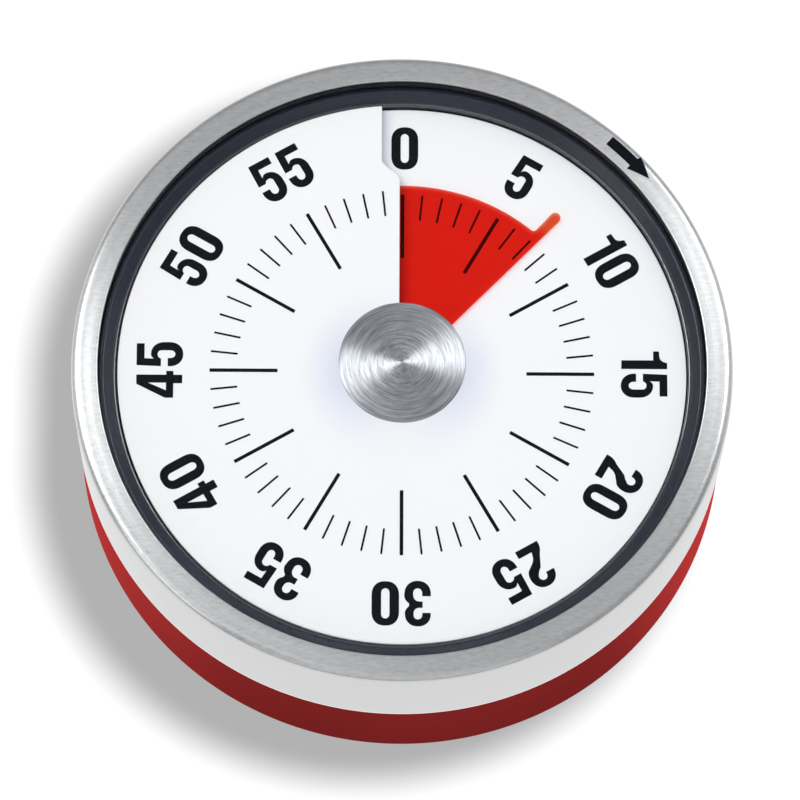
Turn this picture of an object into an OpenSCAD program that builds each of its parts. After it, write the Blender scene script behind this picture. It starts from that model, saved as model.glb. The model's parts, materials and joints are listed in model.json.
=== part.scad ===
// Clockwork countdown timer with a slotted spiral dial and a turning film disc.
// Origin: centre of the face that the timer rests on. +Z points out of the dial,
// +Y to the zero mark. Angles named "clock" run clockwise from the zero mark.

/* [Case] */
// Outside diameter of the turning steel ring
case_d = 79.8; // [78:0.1:100]
// Wall of the steel ring
ring_wall = 0.7; // [0.5:0.05:1]
// Height of the steel ring
ring_h = 14.55; // [13:0.05:20]
// Taper of the ring's wall, on the radius, towards its open edge
ring_draft = 0.25; // [0:0.05:0.3]
// Outer corner radius of the steel ring
ring_corner = 1.5; // [0.8:0.1:2]
// Width of the ring's flat lip over the lens
lip_w = 3.2; // [3:0.05:4.5]
// Thickness of the lip over the lens
lip_t = 0.6; // [0.4:0.05:0.8]
// Height of the base below the ring
base_h = 13; // [10:0.1:20]
// Step from the ring's outside in to the base's outside
base_inset = 0.4; // [0.3:0.1:1.5]
// Wall of the base
base_wall = 2.2; // [1.6:0.1:3]
// Floor of the base
floor_t = 2; // [1.6:0.1:3]
// Wall of the neck that the ring turns on
neck_wall = 2; // [1.5:0.1:2.4]
// Open seam between base and ring
seam = 0.4; // [0.3:0.05:1]
// Running clearance between the liner and the neck
neck_gap = 0.35; // [0.25:0.05:0.5]
// Wall of the plastic liner in the ring
liner_wall = 0.9; // [0.7:0.1:1.2]

/* [Foot] */
// Width of the rubber foot ring
foot_w = 3.2; // [2:0.1:4]
// Height that the foot ring stands proud
foot_proud = 0.4; // [0.3:0.1:1.5]
// Depth of the foot ring's groove
foot_groove = 1; // [0.6:0.1:1.2]
// Step from the base's outside in to the foot ring
foot_inset = 1.7; // [1.2:0.1:3]

/* [Face] */
// Thickness of the clear lens
lens_t = 0.8; // [0.6:0.1:1.2]
// Thickness of the dial
dial_t = 0.8; // [0.5:0.05:0.9]
// Rise of the dial over one turn
dial_pitch = 1.525; // [1.4:0.005:1.9]
// Degrees that the low end of the dial runs on under the high end
dial_overlap = 8; // [4:1:12]
// Slot edge's distance left of the zero line, near the centre
slot_near = 0.35; // [0.2:0.05:0.6]
// Slot edge's distance left of the zero line, near the rim
slot_far = 2.55; // [1.6:0.05:3]
// Radius where the slot edge starts to swing out
slot_r_in = 24.6; // [20:0.1:26]
// Radial length of the swing of the slot edge
slot_swing = 2.8; // [2:0.1:4]
// Width of the dark slope between lip and dial
slope_w = 1.7; // [1:0.1:2.5]
// Play between the film and the lens at the last minute
lens_play = 0.325; // [0.3:0.025:0.6]

/* [Film] */
// Diameter of the turning film
film_d = 48.5; // [40:0.1:49]
// Thickness of the film
film_t = 0.2; // [0.15:0.05:0.25]
// Height of the film over the dial
film_gap = 0.25; // [0.2:0.05:0.3]
// Degrees of film on its hub
film_sweep = 364; // [350:1:366]
// Minutes shown
set_minutes = 7.35; // [1:0.05:59]
// Width of the pointer tab
tab_w = 1.3; // [1:0.1:2]
// Radial reach of the pointer tab beyond the film
tab_reach = 3.8; // [2:0.05:4]
// Fillet between the pointer tab and the film's edge
tab_fillet = 0.5; // [0.3:0.1:1.5]

/* [Knob] */
// Diameter of the knob
knob_d = 15.36; // [12:0.02:20]
// Height of the knob over the lens
knob_h = 1.3; // [1.2:0.1:3]
// Wall of the spun cap
cap_t = 0.5; // [0.4:0.05:0.6]

/* [Movement] */
// Space between the two plates
plate_gap = 8.5; // [8.2:0.1:10.2]
// Thickness of each plate
plate_t = 1; // [0.8:0.1:1.4]
// Radius of the main arbor
arbor_r = 1.75; // [1.45:0.05:2.1]
// Radius of the train's pivots
pivot_r = 0.5; // [0.4:0.05:0.6]
// Running clearance of every pivot, on the radius
pivot_play = 0.05; // [0.03:0.01:0.08]
// Module of the great wheel and its pinion
module_1 = 0.5; // [0.5:0.01:0.52]
// Module of the second wheel and its pinion
module_2 = 0.4; // [0.38:0.01:0.42]
// Module of the third wheel and its pinion
module_3 = 0.33; // [0.31:0.01:0.35]
// Radius of the escape wheel
escape_r = 4.5; // [4:0.1:5]
// Radius of the bell
bell_r = 17; // [14:0.5:20]
// Height of the bell
bell_h = 3.3; // [2.5:0.1:4]

/* [Fasteners] */
// Shank radius of the screws that close the case
case_screw_r = 1.25; // [1:0.05:1.5]
// Shank radius of the screws in the movement
small_screw_r = 0.8; // [0.6:0.05:1]
// Radius of each magnet
magnet_r = 5; // [3:0.25:5]
// Thickness of each magnet
magnet_t = 2.2; // [1.5:0.1:3]

/* [Hidden] */
$fn = 72;
fit = 0.02;                                      // clearance of a pressed fit
slack = 0.05;                                    // clearance of a seated piece

// Teeth: the ratios of the wheels to the main arbor rest on these counts
teeth_1 = 64;
teeth_2 = 48;
teeth_3 = 48;
leaves = 8;                                      // on each pinion
escape_teeth = 15;

// Case, from the outside in
case_r = case_d / 2;
ring_in = case_r - ring_wall;
lip_r = case_r - lip_w;
liner_r = ring_in - ring_draft - slack;
liner_in = liner_r - liner_wall;
neck_r = liner_in - neck_gap;
neck_in = neck_r - neck_wall;
base_r = case_r - base_inset;
foot_r = base_r - foot_inset;
tray_r = neck_r - 0.1;
ledge_r = liner_in - 1.15;                       // inner edge of the shelf under the lens
rim_r = ledge_r - 0.2;                           // tray's rim, inside that shelf
dial_r = lip_r - slope_w - 0.6;
dial_seat_r = dial_r + 0.15;
ledge_w = 0.3;                                   // small flat between slope and dial
ledge_z_gap = 0.9;                               // that flat's height over the dial's zero
base_cut = 0.3;                                  // chamfer at the foot of the base
under = foot_proud - 1;                          // where cuts through the floor start
pocket = 1.2;                                    // depth of the magnets' pockets
screw_sink = 1.2;                                // depth of the case screws' heads
pad_h = 0.6;                                     // pad that carries the bell's post
sound_r = 1.1;                                   // sound holes, in two rings
sound_far = [7, 11];

// Heights, from the table up
floor_z = foot_proud + floor_t;
base_top = foot_proud + base_h;
ring_z = base_top + seam;
ring_top = ring_z + ring_h;
lip_z = ring_top - lip_t;
lens_z = lip_z - slack - lens_t;
lens_top = lens_z + lens_t;
knob_top = lens_top + knob_h;
dial_z = lens_z - dial_pitch - film_gap - film_t - lens_play;
tray_top = dial_z + film_gap - dial_pitch * film_sweep / 360 - 0.4;
tray_t = 1;
tray_z = tray_top - tray_t;
neck_top = tray_z - 0.4;
front_z = tray_z - 1.4 - plate_t;
back_z = front_z - plate_gap - plate_t;
gap_z = back_z + plate_t;                        // floor of the space between the plates

// Levels of the wheels over the back plate
great_z = gap_z + 1;
great_t = 0.9;
ratchet_z = great_z + great_t + 0.1;
ratchet_t = 0.6;
spring_z = ratchet_z + ratchet_t + 0.4;
spring_h = 3.6;
second_z = great_z + great_t + 1.5;
third_z = second_z + 2.2;
escape_z = third_z + 1.5;
wheel_t = 0.7;

// Places of the arbors around the main arbor
cd_1 = module_1 * (teeth_1 + leaves) / 2;
cd_2 = module_2 * (teeth_2 + leaves) / 2;
cd_3 = module_3 * (teeth_3 + leaves) / 2;
cd_escape = 7;
third_far = 18.6;
escape_far = 19;
pallet_far = 19.5;
second_a = 150;
third_a = second_a + corner(cd_1, third_far, cd_2);
escape_a = third_a + corner(third_far, escape_far, cd_3);
pallet_a = escape_a + corner(escape_far, pallet_far, cd_escape);
second_p = polar(cd_1, second_a);
third_p = polar(third_far, third_a);
escape_p = polar(escape_far, escape_a);
pallet_p = polar(pallet_far, pallet_a);
hammer_p = polar(22, 6);
release_p = polar(20, 50);

// Phases that put the teeth in mesh
phase_2 = mesh_phase(second_a, 0, teeth_1, leaves);
phase_3 = mesh_phase(bearing(second_p, third_p), 0, teeth_2, leaves);
phase_4 = mesh_phase(bearing(third_p, escape_p), 0, teeth_3, leaves);

plate_r = 27.2;
pillar_r = 1.8;
pillar_far = 25;
pillar_angles = [22, 110, 262, 322];
tray_screw_far = 23;
tray_screw_angles = [78, 185, 295];
tray_screw_sink = 0.6;                           // depth of their heads in the tray
train_places = [second_p, third_p, escape_p, pallet_p, hammer_p, release_p];
bush_r = 1.3;
click_p = polar(5.4, 40);
post_r = 3;                                      // towers that the case screws enter
post_far = neck_in - post_r - 2.3;
post_angles = [45, 135, 225, 315];
boss_r = 3.6;
boss_top = floor_z + 5.2;
screw_head_t = 1.6;
screw_head_r = 2.4;
magnet_far = base_r - base_wall - magnet_r - 5.3;
magnet_angles = [0, 90, 180, 270];
dial_post_far = dial_r - 3.4;
arbor_end = 0.9;                                 // main arbor's length under the back plate
bell_screw_t = 0.8;
bell_t = 0.7;
bell_top = back_z - arbor_end - bell_screw_t - 0.3;
bell_rim_z = max(bell_top - bell_h, floor_z + 0.6);
hammer_arm_z = back_z - 1;
head_p = polar(bell_r + 2.4, -20);
head_r = 1.6;
pin_r = 0.25;                                    // pins of the escapement
pin_far = escape_r + 0.7;                        // they stay outside the wheel at every rock
pin_spread = 48;

// Knob
stem_r = 3.3;
core_r = knob_d / 2 - cap_t - slack;
core_top = knob_top - cap_t - slack;

// Film
film_in = 4.25;
film_r = film_d / 2;
set_a = set_minutes * 6;
hub_r = film_in - slack;

// ---- Functions ----

function polar(r, a) = [r * cos(a), r * sin(a)];
function clock(r, a) = [r * sin(a), r * cos(a)];
function bearing(p, q) = atan2(q[1] - p[1], q[0] - p[0]);
function distance(p, q) = norm(q - p);
function mix(a, b, t) = a + (b - a) * t;
function ease(t) = t * t * (3 - 2 * t);

// Angle at a triangle's corner between the sides a and b, opposite side c
function corner(a, b, c) = acos((a * a + b * b - c * c) / (2 * a * b));

// Phase of a wheel that meshes, at bearing a, with a wheel of phase p
function mesh_phase(a, p, n_from, n_to) = a + 180 - (0.5 - (a - p) * n_from / 360) * 360 / n_to;

// Height of the dial's upper face at a clock angle
function dial_height(a) = dial_z + dial_pitch * a / 360;

// Distance of the slot's edge from the zero line
function slot_x(r) =
    r <= slot_r_in ? slot_near
    : r >= slot_r_in + slot_swing ? slot_far
    : mix(slot_near, slot_far, ease((r - slot_r_in) / slot_swing));

// Outer radius of the film at an arc distance s behind its leading edge
function film_edge(s) =
    let (tip_r = film_r + tab_reach - tab_w / 2, over = s - tab_w - tab_fillet)
    s <= tab_w ? tip_r + sqrt(max(0, pow(tab_w / 2, 2) - pow(s - tab_w / 2, 2)))
    : over < 0 ? film_r + tab_fillet - sqrt(max(0, pow(tab_fillet, 2) - pow(over, 2)))
    : film_r;

// Teeth with straight flanks to the pitch circle and a narrowed tip
function tooth_points(n, r_root, r_pitch, r_tip, share, phase) =
    let (half = 180 / n * share)
    [for (i = [0 : n - 1], k = [[r_root, -1], [r_pitch, -1], [r_tip, -0.35],
                                 [r_tip, 0.35], [r_pitch, 1], [r_root, 1]])
        polar(k[0], phase + i * 360 / n + k[1] * half)];

// ---- Shapes that several pieces share ----

module ring(r_in, r_out, z0, z1)
    translate([0, 0, z0]) linear_extrude(z1 - z0) difference() {
        circle(r_out);
        circle(r_in);
    }

module rod(r, z0, z1) translate([0, 0, z0]) cylinder(r = r, h = z1 - z0);

module at(p) translate([p[0], p[1], 0]) children();

module around(angles, far) for (a = angles) at(polar(far, a)) children();

module bar_2d(p, q, w) {
    translate(p) rotate(bearing(p, q)) translate([0, -w / 2]) square([distance(p, q), w]);
    translate(p) circle(w / 2);
    translate(q) circle(w / 2);
}

module wheel_2d(n, m, phase)
    polygon(tooth_points(n, m * (n / 2 - 1), m * n / 2, m * (n / 2 + 0.95), 0.42, phase));

module pinion_2d(m, phase)
    polygon(tooth_points(leaves, m * (leaves / 2 - 1.3), m * leaves / 2, m * (leaves / 2 + 0.5),
                         0.34, phase));

// A wheel with four spokes on a bored centre
module spoked_wheel(n, m, phase, hub, bore, z, t)
    translate([0, 0, z]) linear_extrude(t) {
        difference() {
            wheel_2d(n, m, phase);
            circle(m * (n / 2 - 1) - 1.3);
        }
        difference() {
            union() {
                circle(hub);
                for (a = [0 : 90 : 270])
                    rotate(a) translate([0, -0.7]) square([m * (n / 2 - 1) - 0.9, 1.4]);
            }
            circle(bore);
        }
    }

// An arbor between the plates: pivots in both plates and a pinion cut in it
module train_arbor(p, r, m, phase, pinion_z, pinion_h)
    at(p) {
        rod(pivot_r, back_z - 0.3, front_z + plate_t + 0.1);
        rod(r, gap_z + 0.15, front_z - 0.15);
        if (m > 0) translate([0, 0, pinion_z]) linear_extrude(pinion_h) pinion_2d(m, phase);
    }

module screw(head_r, head_t, shank_r, length) {
    difference() {
        rod(head_r, 0, head_t);
        translate([-head_r * 0.7, -0.2, -1]) cube([head_r * 1.4, 0.4, 1 + head_t * 0.4]);
        translate([-0.2, -head_r * 0.7, -1]) cube([0.4, head_r * 1.4, 1 + head_t * 0.4]);
    }
    rod(shank_r, head_t, head_t + length);
}

// A screw that is driven from above, its head's underside at z = 0
module top_screw(head_r, head_t, shank_r, length)
    translate([0, 0, head_t]) mirror([0, 0, 1]) screw(head_r, head_t, shank_r, length);

// A sheet on the dial's spiral. Each row is a clock angle's list of [radius, angle].
module spiral_sheet(rows, lift, thick) {
    nj = len(rows[0]);
    ni = len(rows);
    top = [for (row = rows, p = row) [p[0] * sin(p[1]), p[0] * cos(p[1]), dial_height(p[1]) + lift]];
    low = [for (p = top) p - [0, 0, thick]];
    n = ni * nj;
    rim = concat([for (j = [0 : nj - 2]) [j, j + 1]],
                 [for (i = [0 : ni - 2]) [i * nj + nj - 1, (i + 1) * nj + nj - 1]],
                 [for (j = [0 : nj - 2]) [(ni - 1) * nj + j + 1, (ni - 1) * nj + j]],
                 [for (i = [0 : ni - 2]) [(i + 1) * nj, i * nj]]);
    faces = concat(
        [for (i = [0 : ni - 2], j = [0 : nj - 2], f = [[0, 1, nj + 1], [0, nj + 1, nj]])
            [for (k = f) i * nj + j + k]],
        [for (i = [0 : ni - 2], j = [0 : nj - 2], f = [[nj, nj + 1, 0], [nj + 1, 1, 0]])
            [for (k = f) n + i * nj + j + k]],
        [for (e = rim) [e[1], e[0], e[0] + n, e[1] + n]]);
    polyhedron(concat(top, low), faces);
}

// ---- Base ----

module base_shell() color("firebrick") {
    difference() {
        union() {
            rotate_extrude() polygon([
                [0, foot_proud], [base_r - base_cut, foot_proud], [base_r, foot_proud + base_cut],
                [base_r, base_top], [neck_r, base_top], [neck_r, neck_top], [neck_in, neck_top],
                [neck_in, base_top - 1], [base_r - base_wall, base_top - 2],
                [base_r - base_wall, floor_z], [0, floor_z]]);
            around(post_angles, post_far) rod(boss_r, floor_z - 0.5, boss_top);
            rod(4, floor_z - 0.5, floor_z + pad_h);
        }
        ring(foot_r - foot_w, foot_r, under, foot_proud + foot_groove);
        around(post_angles, post_far) {
            rod(screw_head_r + 0.3, under, foot_proud + screw_sink + screw_head_t);
            rod(case_screw_r + 0.2, under, boss_top + 1);
        }
        around(magnet_angles, magnet_far) rod(magnet_r + slack, floor_z - pocket, floor_z + 3);
        around([0 : 60 : 300], sound_far[0]) rod(sound_r, under, floor_z + 1);
        around([0 : 30 : 330], sound_far[1]) rod(sound_r, under, floor_z + 1);
        rod(1.5 + fit, foot_proud + 0.6, floor_z + 1);
    }
}

module foot_ring() color("#2b2b2c") rotate_extrude() {
    r0 = foot_r - foot_w + slack;
    r1 = foot_r - slack;
    polygon([[r0, foot_proud + foot_groove - slack], [r0, 0.25], [r0 + 0.25, 0], [r1 - 0.25, 0],
             [r1, 0.25], [r1, foot_proud + foot_groove - slack]]);
}

module magnets() color("silver")
    around(magnet_angles, magnet_far) rod(magnet_r, floor_z - pocket, floor_z - pocket + magnet_t);

module base_screws() color("dimgray")
    around(post_angles, post_far) translate([0, 0, foot_proud + screw_sink])
        screw(screw_head_r, screw_head_t, case_screw_r, boss_top - foot_proud + 4.5);

// ---- Bell ----

module bell_post() color("goldenrod") difference() {
    union() {
        rod(1.5, foot_proud + 0.7, floor_z + pad_h);
        rod(2.6, floor_z + pad_h, bell_top - bell_t - slack);
    }
    rod(small_screw_r + slack, floor_z, bell_top + 1);
}

module bell() color("#b9bcc0") difference() {
    rise = bell_top - bell_rim_z;
    rotate_extrude() polygon(concat(
        [for (t = [0 : 0.125 : 1]) [bell_r * sin(90 * t), bell_rim_z + rise * cos(90 * t)]],
        [for (t = [1 : -0.125 : 0]) [(bell_r - bell_t) * sin(90 * t),
                                     bell_rim_z + (rise - bell_t) * cos(90 * t)]]));
    rod(small_screw_r + 0.1, floor_z, bell_top + 1);
}

module bell_screw() color("dimgray")
    translate([0, 0, bell_top]) top_screw(2, bell_screw_t, small_screw_r, bell_top - floor_z - pad_h);

// ---- Movement: fixed pieces ----

module plate_2d(r_centre) difference() {
    circle(plate_r);
    circle(r_centre);
    for (p = train_places) translate(p) circle(bush_r + fit);
    for (a = pillar_angles) translate(polar(pillar_far, a)) circle(small_screw_r + 0.1);
}

module back_plate() color("#c9b26a") translate([0, 0, back_z]) linear_extrude(plate_t)
    plate_2d(arbor_r - 0.5 + pivot_play);

module front_plate() color("#c9b26a") translate([0, 0, front_z]) linear_extrude(plate_t)
    difference() {
        plate_2d(arbor_r + pivot_play);
        for (a = tray_screw_angles) translate(polar(tray_screw_far, a)) circle(small_screw_r + 0.1);
    }

module pillars() color("#c9b26a") around(pillar_angles, pillar_far) difference() {
    rod(pillar_r, gap_z, front_z);
    rod(small_screw_r + slack, gap_z - 1, gap_z + 3);
    rod(small_screw_r + slack, front_z - 3, front_z + 1);
}

module plate_screws() color("dimgray") around(pillar_angles, pillar_far) {
    translate([0, 0, back_z - 0.7]) screw(1.5, 0.7, small_screw_r, plate_t + 2.6);
    translate([0, 0, front_z + plate_t]) top_screw(1.5, 0.7, small_screw_r, plate_t + 2.6);
}

module pivot_bushes() color("goldenrod") for (p = train_places) at(p) {
    ring(pivot_r + pivot_play, bush_r, back_z, gap_z);
    ring(pivot_r + pivot_play, bush_r, front_z, front_z + plate_t);
}

module mainspring() color("#8d97a3") {
    turns = 5;
    r0 = 2.3;
    r1 = 7.3;
    t = 0.25;
    far = function(u) mix(r0, r1, u);
    translate([0, 0, spring_z]) linear_extrude(spring_h) polygon(concat(
        [for (k = [0 : turns * 20]) polar(far(k / turns / 20), 330 + k * 18)],
        [for (k = [turns * 20 : -1 : 0]) polar(far(k / turns / 20) + t, 330 + k * 18)]));
}

module spring_post() color("dimgray") at(polar(8.55, 330)) rod(0.9, spring_z, front_z);

module leaf(p, q, z, h) color("#9aa0a6")
    translate([0, 0, z]) linear_extrude(h) bar_2d(p, q, 0.25);

module hammer_spring()
    leaf(polar(pillar_far - pillar_r, 22) + [-0.1, -0.1], hammer_p + [1.45, 2.2], gap_z + 4, 1.2);

module release_spring()
    leaf(polar(24.4, 105.5), release_p + [1.2, 2.6], escape_z, 0.7);

// ---- Face: fixed pieces ----

module dial_tray() color("#33383f") {
    difference() {
        union() {
            rotate_extrude() polygon([
                [arbor_r + 0.9, tray_z], [neck_in - 1.4, tray_z], [neck_in - 1.4, tray_z - 1.2],
                [neck_in - 0.2, tray_z - 1.2], [neck_in - 0.2, neck_top], [tray_r, neck_top],
                [tray_r, lens_z - 1.3], [rim_r, lens_z - 1.3], [rim_r, lens_z - 0.5],
                [rim_r - 0.6, lens_z - 0.5], [dial_seat_r + ledge_w, dial_z + ledge_z_gap],
                [dial_seat_r, dial_z + ledge_z_gap], [dial_seat_r, tray_top],
                [arbor_r + 0.9, tray_top]]);
            around(post_angles, post_far) rod(post_r, boss_top + slack, tray_z + 0.5);
            around(tray_screw_angles, tray_screw_far) rod(2, front_z + plate_t, tray_z + 0.5);
            for (a = [15 : 30 : 345]) at(clock(dial_post_far, a))
                rod(1.2, tray_top - 0.5, dial_height(a) - dial_t - 0.1);
        }
        around(post_angles, post_far) rod(case_screw_r + slack, boss_top - 1, boss_top + 9);
        around(tray_screw_angles, tray_screw_far) {
            rod(small_screw_r + 0.1, front_z, tray_top + 1);
            rod(2, tray_top - tray_screw_sink, tray_top + 1);
        }
    }
}

module tray_screws() color("dimgray") around(tray_screw_angles, tray_screw_far)
    translate([0, 0, tray_top - tray_screw_sink])
        top_screw(1.8, 0.55, small_screw_r, tray_top - front_z - tray_screw_sink);

module dial() color("white") {
    stops = concat([4.6], [for (k = [0 : 6]) slot_r_in + slot_swing * k / 6], [dial_r]);
    steps = 74;
    rows = [for (i = [0 : steps]) [for (r = stops)
        [r, mix(-dial_overlap, 360 - asin(slot_x(r) / r), i / steps)]]];
    spiral_sheet(rows, 0, dial_t);
}

// ---- Rotor: ring, lens, knob ----

module bezel_ring() color("silver") rotate_extrude() {
    bend = ring_corner;
    inner = bend - ring_wall;
    polygon(concat(
        [[ring_in - ring_draft, ring_z], [case_r - ring_draft, ring_z]],
        [for (a = [0 : 15 : 90]) [case_r - bend, ring_top - bend] + polar(bend, a)],
        [[lip_r, ring_top], [lip_r, lip_z]],
        [for (a = [90 : -15 : 0]) [ring_in - inner, lip_z - inner] + polar(inner, a)]));
}

module bezel_liner() color("#1d1f21") rotate_extrude() {
    bend = ring_corner - ring_wall;
    polygon([[liner_in, ring_z + 0.5], [liner_r, ring_z + 0.5], [liner_r, lens_top - bend],
             [liner_r - bend, lens_top], [liner_in, lens_top], [liner_in, lens_z - slack],
             [ledge_r, lens_z - slack], [ledge_r, lens_z - 1], [liner_in, lens_z - 1]]);
}

module lens() color("aliceblue", 0.3) ring(stem_r + slack, liner_in - slack, lens_z, lens_top);

module knob_cap() color("silver") rotate_extrude() {
    bend = 0.5;
    r = knob_d / 2;
    polygon(concat(
        [[0, knob_top]], [for (a = [90 : -15 : 0]) [r - bend, knob_top - bend] + polar(bend, a)],
        [[r, lens_top + slack], [r - cap_t, lens_top + slack], [r - cap_t, knob_top - cap_t],
         [0, knob_top - cap_t]]));
}

module knob_core() color("#2b2b2c") difference() {
    union() {
        rod(stem_r, lens_z, lens_top + 0.1);
        rod(core_r, lens_top + slack, core_top);
    }
    rod(arbor_r + fit, lens_z - 1, core_top + 1);
}

module knob_screw() color("dimgray")
    translate([0, 0, core_top - 0.5]) top_screw(arbor_r - 0.1, 0.45, small_screw_r, 2.4);

module main_arbor() color("#a9adb2") difference() {
    union() {
        rod(arbor_r - 0.5, back_z - arbor_end, front_z);
        rod(arbor_r, gap_z + 0.1, core_top - 0.55);
    }
    rod(small_screw_r + slack, core_top - 3.6, core_top);
    // flat that turns the film's hub
    translate([arbor_r - 0.4, -3, tray_z]) cube([2, 6, lens_z - tray_z - 0.1]);
}

module arbor_clip() color("#8d97a3") difference() {
    ring(arbor_r - 0.5 + fit, 2.8, back_z - 0.7, back_z - 0.2);
    translate([0, -0.7, back_z - 1]) cube([4, 1.4, 1]);
}

module great_wheel() color("#c9a94e")
    spoked_wheel(teeth_1, module_1, 0, 6.6, arbor_r + fit, great_z, great_t);

module ratchet_wheel() color("#a9adb2") translate([0, 0, ratchet_z]) linear_extrude(ratchet_t)
    difference() {
        polygon([for (i = [0 : 15], k = [[3.1, 0], [3.7, 2]]) polar(k[0], i * 22.5 + k[1])]);
        circle(arbor_r + fit);
    }

module click_stud() color("#a9adb2") at(click_p)
    rod(0.45, great_z + great_t, ratchet_z + ratchet_t + 0.15);

module click() color("#8d97a3") translate([0, 0, ratchet_z]) linear_extrude(ratchet_t)
    difference() {
        union() {
            translate(click_p) circle(1);
            bar_2d(click_p, polar(4.3, 78), 0.7);
        }
        translate(click_p) circle(0.45 + pivot_play);
    }

module click_spring()
    leaf(polar(6.1, 108), polar(5.35, 74), ratchet_z, 0.4);

module alarm_cam() color("#c9a94e") translate([0, 0, escape_z]) linear_extrude(wheel_t)
    difference() {
        circle(6);
        circle(arbor_r + fit);
        rotate(50 + set_a) translate([5, -1.2]) square([2, 2.4]);
    }

// ---- Film ----

module film() color("red") {
    tail = [for (k = [0 : 70]) mix(film_sweep, 12, k / 70)];
    nose = [for (k = [0 : 5]) tab_w + 0.05 + tab_fillet * (1 - k / 5)];
    tip = [for (k = [0 : 8]) tab_w / 2 * (1 + cos(22.5 * k))];
    arcs = concat([12 * film_r * PI / 180, 4, 3.2], nose, tip);
    r_far = film_r + tab_reach - tab_w / 2;
    back = concat(tail, [for (k = [1 : len(arcs) - 1]) arcs[k] / r_far * 180 / PI]);
    rows = [for (i = [0 : len(back) - 1]) let (
        s = back[i] * r_far * PI / 180,
        r = i < len(tail) ? film_r : film_edge(s))
        [for (u = [0, 1]) [mix(film_in, r, u), set_a - back[i]]]];
    spiral_sheet(rows, film_gap + film_t, film_t);
}

module film_hub() color("darkred") {
    z0 = dial_height(set_a - film_sweep) + film_gap - 0.15;
    z1 = dial_height(set_a) + film_gap + film_t + 0.1;
    difference() {
        rod(hub_r, z0, z1);
        difference() {
            rod(arbor_r + pivot_play, z0 - 1, z1 + 1);
            translate([arbor_r - 0.4 + pivot_play, -3, z0 - 2]) cube([2, 6, z1 - z0 + 4]);
        }
    }
}

// ---- Gear train ----

module second_arbor() color("#a9adb2")
    train_arbor(second_p, 0.6, module_1, phase_2, great_z - 0.4, 1.7);

module second_wheel() color("#c9a94e") at(second_p)
    spoked_wheel(teeth_2, module_2, 0, 2.2, 0.6 + fit, second_z, wheel_t);

module third_arbor() color("#a9adb2")
    train_arbor(third_p, 0.6, module_2, phase_3, second_z - 0.4, 1.5);

module third_wheel() color("#c9a94e") at(third_p)
    spoked_wheel(teeth_3, module_3, 0, 2, 0.6 + fit, third_z, wheel_t);

module escape_arbor() color("#a9adb2")
    train_arbor(escape_p, 0.6, module_3, phase_4, third_z - 0.4, 1.5);

module escape_wheel() color("#c9a94e") at(escape_p) translate([0, 0, escape_z])
    linear_extrude(wheel_t) difference() {
        polygon([for (i = [0 : escape_teeth - 1], k = [[escape_r - 1, 0], [escape_r, 14],
                 [escape_r, 18], [escape_r - 1, 16]]) polar(k[0], i * 24 + k[1])]);
        circle(0.6 + fit);
    }

// ---- Escapement and balance ----

module pallet_arbor() color("#a9adb2") train_arbor(pallet_p, 0.7, 0, 0, 0, 0);

module pallet_lever() color("#8d97a3") {
    toward = bearing(escape_p, pallet_p);
    pins = [for (s = [-1, 1]) escape_p + polar(pin_far, toward + s * pin_spread)];
    translate([0, 0, escape_z - 0.75]) linear_extrude(0.6) difference() {
        union() {
            translate(pallet_p) circle(1.5);
            for (p = pins) bar_2d(pallet_p, p, 0.9);
        }
        translate(pallet_p) circle(0.7 + fit);
    }
    for (p = pins) at(p) rod(pin_r, escape_z - 0.75, escape_z + wheel_t);
}

module balance_bar() color("#c9a94e") {
    out = polar(1, pallet_a);
    translate([0, 0, second_z]) linear_extrude(0.8) difference() {
        union() {
            bar_2d(pallet_p - 5 * out, pallet_p + 5 * out, 1);
            for (s = [-5, 5]) translate(pallet_p + s * out) circle(1.2);
            translate(pallet_p) circle(1.5);
        }
        translate(pallet_p) circle(0.7 + fit);
    }
}

// ---- Alarm ----

module hammer_arbor() color("#a9adb2") at(hammer_p) {
    rod(pivot_r, hammer_arm_z - 0.2, front_z + plate_t + 0.1);
    rod(0.8, gap_z + 0.15, front_z - 0.15);
}

module hammer_arm() color("#8d97a3") translate([0, 0, hammer_arm_z]) linear_extrude(0.7)
    difference() {
        union() {
            translate(hammer_p) circle(1.3);
            bar_2d(hammer_p, head_p, 1);
        }
        translate(hammer_p) circle(pivot_r + fit);
        translate(head_p) circle(0.3 + fit);
    }

module hammer_head() color("#a9adb2") at(head_p) {
    rod(0.3, bell_rim_z, hammer_arm_z + 0.9);
    rod(head_r, bell_rim_z - 0.3, bell_rim_z + 2.2);
}

module release_arbor() color("#a9adb2") train_arbor(release_p, 0.8, 0, 0, 0, 0);

module release_lever() color("#8d97a3") {
    nose = polar(6.75, 50);
    lock = mix(release_p, hammer_p, 0.8);
    translate([0, 0, escape_z]) linear_extrude(wheel_t) difference() {
        union() {
            translate(release_p) circle(1.7);
            bar_2d(release_p, nose, 1.1);
            bar_2d(release_p, lock, 1.1);
        }
        translate(release_p) circle(0.8 + fit);
    }
}

// ---- Drawing ----

base_shell();
foot_ring();
magnets();
base_screws();
bell_post();
bell();
bell_screw();
back_plate();
front_plate();
pillars();
plate_screws();
pivot_bushes();
dial_tray();
tray_screws();
dial();
mainspring();
spring_post();
hammer_spring();
release_spring();
bezel_ring();
bezel_liner();
lens();
knob_cap();
knob_core();
knob_screw();
main_arbor();
arbor_clip();
great_wheel();
ratchet_wheel();
click_stud();
click();
click_spring();
alarm_cam();
film();
film_hub();
second_arbor();
second_wheel();
third_arbor();
third_wheel();
escape_arbor();
escape_wheel();
pallet_arbor();
pallet_lever();
balance_bar();
hammer_arbor();
hammer_arm();
hammer_head();
release_arbor();
release_lever();
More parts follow.
